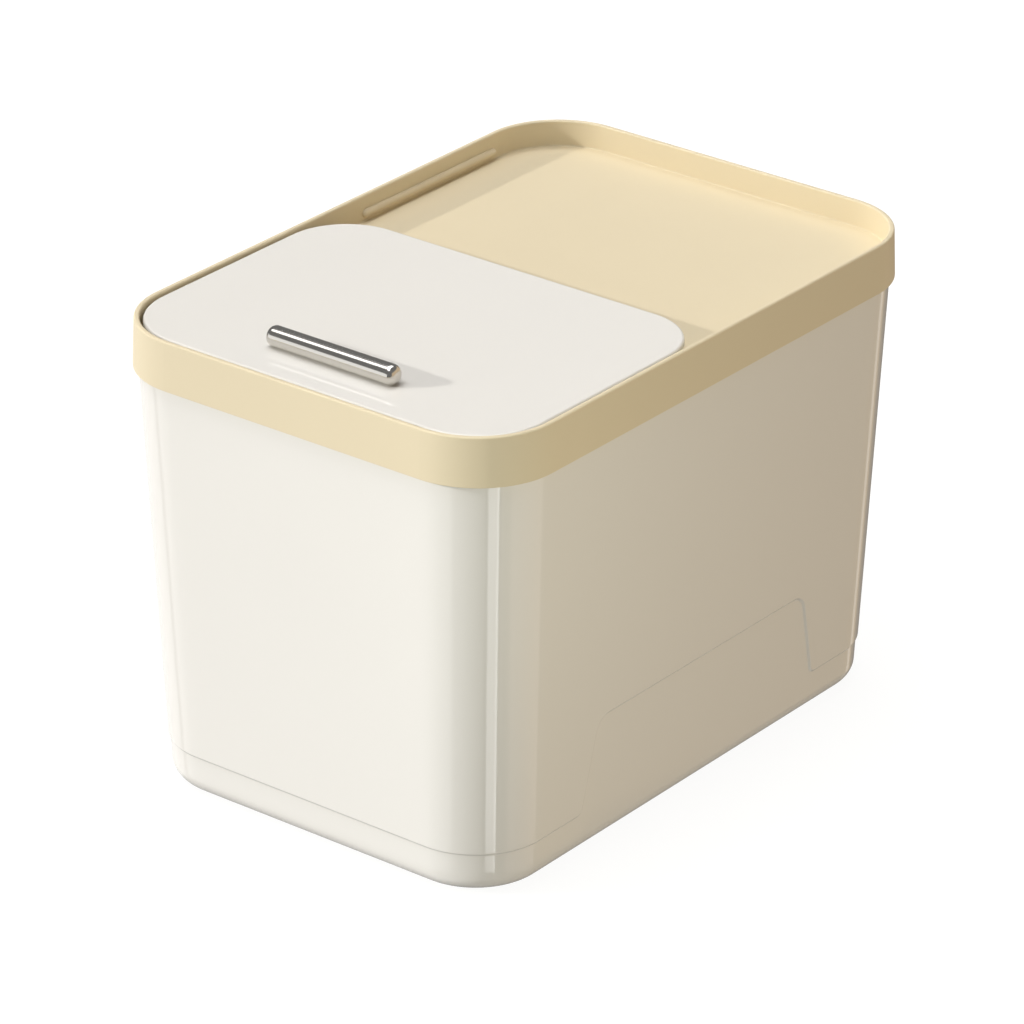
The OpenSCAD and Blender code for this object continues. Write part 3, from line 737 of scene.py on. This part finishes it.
def swept_seal(name, box, width, corner, body, node):
    """A lipped seal that fills the box of its CAD node."""
    low, high = box
    section = seal_section(width, high.z - low.z, fitting_sizes().seal_lips)
    mesh = grown(section, lipped_seal_tree(), {
        "Width": high.x - low.x - width, "Length": high.y - low.y - width, "Corner": corner - width / 2,
        "Middle": (low + high) / 2, "Material": material_of("silicone")})
    piece_from(name, mesh, "silicone", body, "silicone", node)


class RICEBIN_OT_seals(bpy.types.Operator):
    """Sweeps the lipped silicone seals round the mouth and the rim"""

    bl_idname = "ricebin.seals"
    bl_label = "Seals"

    def execute(self, context):
        s = fitting_sizes()
        swept_seal("lipped_lid_seal", LID_SEAL_BOX, s.lid_seal_width, s.lid_seal_corner, "lid_body", "lid_seal")
        swept_seal("lipped_rim_seal", RIM_SEAL_BOX, s.rim_seal_width, s.rim_seal_corner, "cover_body",
                   "rim_seal")
        return {"FINISHED"}


class RICEBIN_OT_handle(bpy.types.Operator):
    """Turns the polished bar handle, with the flat that it sits on"""

    bl_idname = "ricebin.handle"
    bl_label = "Bar handle"

    def execute(self, context):
        s = fitting_sizes()
        radius, end, half = s.bar_diameter / 2, s.bar_end, s.bar_length / 2
        outline = [(0.0, half), ((radius - end) / 2, half)]
        outline += [(radius - across, half - along) for across, along in quarter_round(end, range(0, 91, 6))]
        # A ring 2 mm from the rounding keeps the shade of the straight part even
        outline += [(radius, half - end - 2 * MM), (radius, 0.0)]
        outline += [(r, -z) for r, z in reversed(outline[:-1])]
        mesh = ring_mesh("bar_handle", turned(outline, 96))
        middle = Vector((0, (BAR_LOW.y + BAR_HIGH.y) / 2, BAR_HIGH.z - radius))
        mesh.transform(Matrix.Translation(middle) @ Matrix.Rotation(math.pi / 2, 4, "Y"))
        # The bar's flat sits on the lid
        build = bmesh.new()
        build.from_mesh(mesh)
        whole = build.verts[:] + build.edges[:] + build.faces[:]
        cut = bmesh.ops.bisect_plane(build, geom=whole, plane_co=(0, 0, LID_TOP), plane_no=(0, 0, -1),
                                     clear_outer=True)
        rim = [item for item in cut["geom_cut"] if isinstance(item, bmesh.types.BMEdge)]
        seat = bmesh.ops.contextual_create(build, geom=rim)
        bmesh.ops.recalc_face_normals(build, faces=build.faces)
        for face in seat["faces"]:
            face.smooth = False
        build.to_mesh(mesh)
        build.free()
        piece_from("bar_handle", mesh, "chrome", "lid_body", "chrome", "handle")
        return {"FINISHED"}


def cross_screw(head, head_height, shank, whole):
    """A screw that points up from its head, whose lower face at height 0 has a cross recess."""
    steps, quarter_steps = 48, 12
    arm, reach, depth, rim = 0.075 * head, 0.3 * head, 0.55 * head_height, 0.12 * head
    # Two arms of the cross, each twice arm in width, meet at this distance from the middle
    hub = 1.42 * arm
    chamfer = 0.05 * MM

    def face_ring(radius, level):
        """A ring in the head's face; unless it is level, its points within the cross lie deep."""
        ring = []
        # Within each quarter the first three points and the last two are in an arm of the cross
        edge = math.asin(min(0.7071, arm / radius))
        angles = [0, edge / 2, edge, edge, edge + (math.pi / 4 - edge) / 3, edge + (math.pi / 4 - edge) / 1.5,
                  math.pi / 4]
        for k in range(steps):
            quarter, n = divmod(k, quarter_steps)
            a = angles[n] if n <= 6 else math.pi / 2 - angles[quarter_steps - n]
            a += quarter * math.pi / 2
            deep = (n <= 2 or n >= 10) and not level
            ring.append(Vector((radius * math.cos(a), radius * math.sin(a), depth if deep else 0.0)))
        return ring

    inner = [Vector((p.x, p.y, depth)) for p in face_ring(hub, False)]
    rings = [[Vector((0, 0, depth))], inner, face_ring(hub, False), face_ring((reach + hub) / 2, False),
             face_ring(reach, False), face_ring(reach, True)]
    outline = [(head / 2 - rim, 0.0)]
    outline += [(head / 2 - across, up) for across, up in quarter_round(rim, range(15, 91, 15))]
    outline += [(head / 2, head_height - chamfer), (head / 2 - chamfer, head_height), (shank / 2, head_height)]
    # Thread of rings, each a pitch high
    pitch = 0.22 * shank
    root = 0.42 * shank
    z = head_height + pitch
    while z < whole - 2 * pitch:
        outline += [(shank / 2, z), (root, z + pitch / 2)]
        z += pitch
    point = 0.3 * shank
    outline += [(shank / 2, z), (point, whole), (0.0, whole)]
    return ring_mesh("screw", rings + turned(outline, steps))


def placed_rows(name, mesh, box, size, grid, height, material, body, slot, *nodes):
    """Copies of a mesh, each of a given size across, in columns and rows inside the box of their CAD nodes."""
    (low, high), (columns, rows) = box, grid
    grown_mesh = grown(mesh, rows_of_copies_tree(), {
        "Across": high.x - low.x - size, "Along": high.y - low.y - size if rows > 1 else 0.0,
        "Columns": columns, "Rows": rows, "Middle": ((low.x + high.x) / 2, (low.y + high.y) / 2, height),
        "Material": material_of(material)})
    piece_from(name, grown_mesh, material, body, slot, *nodes)


class RICEBIN_OT_fasteners(bpy.types.Operator):
    """Sets out the cross-head screws and gives the hinge pins their plated steel"""

    bl_idname = "ricebin.fasteners"
    bl_label = "Screws and pins"

    def execute(self, context):
        s = fitting_sizes()
        for name, node, box, rows, sizes in (
                ("panel_cross_screws", "panel_screws", PANEL_SCREW_BOX, 3,
                 (s.panel_screw_head, s.panel_screw_head_height, s.panel_screw_shank)),
                ("handle_cross_screws", "handle_screws", HANDLE_SCREW_BOX, 1,
                 (s.handle_screw_head, s.handle_screw_head_height, s.handle_screw_shank))):
            low, high = box
            screw = cross_screw(*sizes, high.z - low.z)
            placed_rows(name, screw, box, sizes[0], (2, rows), low.z, "steel", "lid_body", "steel", node)
        for node in ("hinge_pin_left", "hinge_pin_right"):
            dress(node, "steel")
        return {"FINISHED"}


class RICEBIN_OT_feet(bpy.types.Operator):
    """Sets out the rubber feet with their grip rings"""

    bl_idname = "ricebin.feet"
    bl_label = "Feet"

    def execute(self, context):
        radius, whole = (FOOT_HIGH.x - FOOT_LOW.x) / 2, FOOT_HIGH.z - FOOT_LOW.z
        groove, edge, chamfer = 0.35 * MM, 0.6 * MM, 0.1 * MM
        # The rings lie between the hub and the foot's margin; a ring's section is in shares of a pitch
        hub, first_ring, margin = 0.9 * MM, 1.2 * MM, 1.6 * MM
        section = ((0.1, 0.1 * MM), (0.18, 0.0), (0.6, 0.0), (0.68, 0.1 * MM), (0.78, groove), (1, groove))
        rings = fitting_sizes().foot_rings
        outline = [(0.0, groove), (hub, groove)]
        pitch = (radius - edge - margin) / rings
        for n in range(rings):
            outline += [(first_ring + n * pitch + share * pitch, up) for share, up in section]
        outline += [(radius - edge - 0.25 * MM, 0.0), (radius - edge, 0.0)]
        outline += [(radius - across, up) for across, up in quarter_round(edge, range(18, 91, 18))]
        outline += [(radius, whole - chamfer), (radius - chamfer, whole), (0.0, whole)]
        right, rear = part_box("foot_front_right")[1].x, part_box("foot_rear_right")[1].y
        box = Vector((-right, -rear, 0)), Vector((right, rear, whole))
        placed_rows("ringed_feet", ring_mesh("foot", turned(outline, 64)), box, 2 * radius, (2, 2), FOOT_LOW.z,
                    "rubber", "bin", "foot_rubber", "foot_front_left", "foot_front_right", "foot_rear_left",
                    "foot_rear_right")
        return {"FINISHED"}


# Stage


def aimed(name, data, place, target):
    """A lamp or camera at a place, looking at the target."""
    thing = bpy.data.objects.new(name, data)
    bpy.context.scene.collection.objects.link(thing)
    thing.location = place
    thing.rotation_mode = "QUATERNION"
    thing.rotation_quaternion = (Vector(target) - Vector(place)).to_track_quat("-Z", "Y")
    return thing


# Height of the bin's middle, which the key light is aimed at, and the key's direction from there
MIDDLE = (0, 0, 0.13)
KEY_WAY, KEY_DISTANCE = (-0.671, -0.658, 0.342), 3
# Even light of the room from all sides
ROOM_LIGHT = 0.2
# Half the width of the floor in metres
FLOOR_REACH = 12
# The camera, fitted to the photograph's edges: place, azimuth, elevation and roll in degrees, and lens in mm
CAMERA_PLACE = (1.6427, -2.1066, 1.4145)
CAMERA_TURN = (38.03, 25.859, 0.239)
CAMERA_SENSOR, CAMERA_LENS = 36.0, 204.55
# Soft boxes round the bin: name, azimuth and elevation of the middle, width and height, softness of the edges
# (all in degrees), colour and strength
SOFT_BOXES = (
    ("overhead", 190, 80, 220, 44, 3.0, "#FAFAFC", 3.85),
    ("bar glint", -166, 52, 26, 10, 1.5, "#FFFFFF", 3.0),
    ("front left", -122, -9, 70, 52, 1.5, "#FFFFFF", 0.95),
    ("warm right", 35, -3, 110, 60, 1.5, "#FFDCA6", 0.51),
    ("corner strip", -30.5, -29, 15, 12.4, 0.4, "#FFFFFF", 3.4),
    ("strip's bright edge", -24.5, -29, 3, 12.4, 0.6, "#FFFFFF", 1.8),
    ("side band", 19, -31, 50, 10, 0.8, "#FFE9E0", 0.7),
    ("rear strip", 80, -25, 8, 30, 1.5, "#FFFFFF", 0.7),
    ("front floor glow", -115, -54, 70, 24, 3.0, "#FFFFFF", 0.7),
    ("floor glow", 0, -75, 360, 72, 3.0, "#FFFDF8", 0.05),
    ("left band", 163, -27, 66, 24, 1.5, "#FFFFFF", 0.8),
)


def light_the_studio(scene):
    """The world carries the soft boxes, so that the glossy pieces reflect them from wherever they are seen."""
    world = bpy.data.worlds.new("Studio")
    scene.world = world
    world.use_nodes = True
    tree = world.node_tree
    tree.nodes.clear()
    way = add(tree, "ShaderNodeSeparateXYZ", {0: add(tree, "ShaderNodeTexCoord").outputs["Generated"]}).outputs
    azimuth = add(tree, "ShaderNodeMath", {0: way["Y"], 1: way["X"]}, operation="ARCTAN2").outputs[0]
    elevation = add(tree, "ShaderNodeMath", {0: way["Z"]}, operation="ARCSINE").outputs[0]
    total = add(tree, "ShaderNodeVectorMath", {0: linear("#FFFFFF")[:3], "Scale": ROOM_LIGHT},
                operation="SCALE").outputs[0]
    for _, turn, rise, width, height, soft, code, strength in SOFT_BOXES:
        share, edge = None, math.radians(soft)
        for angle, middle, size in ((azimuth, turn, width), (elevation, rise, height)):
            off = add(tree, "ShaderNodeMath", {0: angle, 1: math.radians(middle)}, operation="SUBTRACT")
            off = add(tree, "ShaderNodeMath", {0: off.outputs[0], 1: math.pi, 2: -math.pi}, operation="WRAP")
            off = add(tree, "ShaderNodeMath", {0: off.outputs[0]}, operation="ABSOLUTE")
            half = math.radians(size) / 2
            inside = add(tree, "ShaderNodeMapRange", {"Value": off.outputs[0], "From Min": half + edge,
                                                      "From Max": half - edge}, interpolation_type="SMOOTHSTEP")
            share = inside.outputs[0] if share is None else add(
                tree, "ShaderNodeMath", {0: share, 1: inside.outputs[0]}, operation="MULTIPLY").outputs[0]
        share = add(tree, "ShaderNodeMath", {0: share, 1: strength}, operation="MULTIPLY").outputs[0]
        box = add(tree, "ShaderNodeVectorMath", {0: linear(code)[:3], "Scale": share},
                  operation="SCALE").outputs[0]
        total = add(tree, "ShaderNodeVectorMath", {0: total, 1: box}, operation="ADD").outputs[0]
    back = add(tree, "ShaderNodeBackground", {"Color": total})
    add(tree, "ShaderNodeOutputWorld", {"Surface": back.outputs[0]})


def floor_material():
    """The eye sees a plain matte white with only a faint shade beside the bin."""
    material, tree = new_material("Matte white studio floor")
    place = add(tree, "ShaderNodeTexCoord").outputs["Object"]
    shader = add(tree, "ShaderNodeBsdfPrincipled", {
        "Base Color": tinted(tree, place, colours().floor, 1.0, 0.02), "Roughness": 0.9,
        "Specular IOR Level": 0.1,
        "Emission Color": (1.0, 1.0, 1.0, 1.0), "Emission Strength": 0.9})
    close_material(tree, shader)
    return material


class RICEBIN_OT_stage(bpy.types.Operator):
    """Sets up the pale floor, the studio light and the camera"""

    bl_idname = "ricebin.stage"
    bl_label = "Stage"

    def execute(self, context):
        scene = context.scene
        scene.view_settings.view_transform = "Standard"
        mesh = bpy.data.meshes.new("floor")
        corners = [(x * FLOOR_REACH, y * FLOOR_REACH, 0) for x, y in ((-1, -1), (1, -1), (1, 1), (-1, 1))]
        mesh.from_pydata(corners, [], [(0, 1, 2, 3)])
        mesh.materials.append(floor_material())
        floor = bpy.data.objects.new("floor", mesh)
        scene.collection.objects.link(floor)
        # The floor adds no light to the bin, so that it can be nearly white without lifting the shaded side
        floor.visible_diffuse = False
        floor.visible_glossy = False

        light_the_studio(scene)
        key = bpy.data.lights.new("key", "SUN")
        key.energy, key.angle, key.color = 1.95, math.radians(2), (1.0, 0.98, 0.95)
        sun = aimed("key", key, [m + KEY_DISTANCE * way for m, way in zip(MIDDLE, KEY_WAY)], MIDDLE)
        sun.visible_glossy = False
        # A weak greenish lamp lifts the near corner and the long side
        fill = bpy.data.lights.new("corner_fill", "AREA")
        fill.shape, fill.size, fill.energy = "DISK", 0.2, 0.52
        fill.color = (0.92, 1.0, 0.88)
        lamp = aimed("corner_fill", fill, (0.5, -0.35, 0.25), (0.12, -0.05, 0.12))
        lamp.visible_camera = False
        lamp.visible_glossy = False

        lens = bpy.data.cameras.new("camera")
        lens.sensor_width, lens.lens = CAMERA_SENSOR, CAMERA_LENS
        lens.clip_start, lens.clip_end = 0.05, 60.0
        camera = bpy.data.objects.new("camera", lens)
        scene.collection.objects.link(camera)
        azimuth, elevation, roll = [math.radians(a) for a in CAMERA_TURN]
        ahead = Vector((-math.sin(azimuth) * math.cos(elevation), math.cos(azimuth) * math.cos(elevation),
                        -math.sin(elevation)))
        right = Vector((math.cos(azimuth), math.sin(azimuth), 0))
        up = right.cross(ahead)
        right, up = right * math.cos(roll) + up * math.sin(roll), up * math.cos(roll) - right * math.sin(roll)
        camera.matrix_world = Matrix((*zip(right, up, -ahead, CAMERA_PLACE), (0, 0, 0, 1)))
        scene.camera = camera
        return {"FINISHED"}


class RICEBIN_PT_panel(bpy.types.Panel):
    """Lists the bin's pieces, sizes and colours"""

    bl_idname = "RICEBIN_PT_panel"
    bl_label = "Rice Bin"
    bl_space_type = "VIEW_3D"
    bl_region_type = "UI"
    bl_category = "Rice Bin"

    def draw(self, context):
        for operator in OPERATORS:
            self.layout.operator(operator.bl_idname)
        for group in (body_sizes(), fitting_sizes(), colours()):
            column = self.layout.column(align=True)
            for name in group.__annotations__:
                column.prop(group, name)


GROUPS = (("rice_bin_body", BodySizes), ("rice_bin_fittings", FittingSizes), ("rice_bin_colours", BinColours))
OPERATORS = (RICEBIN_OT_body, RICEBIN_OT_cover, RICEBIN_OT_lid, RICEBIN_OT_seals, RICEBIN_OT_handle,
             RICEBIN_OT_fasteners, RICEBIN_OT_feet, RICEBIN_OT_stage)


def register():
    for name, group in GROUPS:
        bpy.utils.register_class(group)
        setattr(bpy.types.Scene, name, PointerProperty(type=group))
    for item in (*OPERATORS, RICEBIN_PT_panel):
        bpy.utils.register_class(item)


def unregister():
    for item in reversed((*OPERATORS, RICEBIN_PT_panel)):
        bpy.utils.unregister_class(item)
    for name, group in reversed(GROUPS):
        delattr(bpy.types.Scene, name)
        bpy.utils.unregister_class(group)


def main():
    register()
    for operator in OPERATORS:
        getattr(bpy.ops.ricebin, operator.bl_idname.split(".")[1])()


if __name__ == "__main__":
    main()
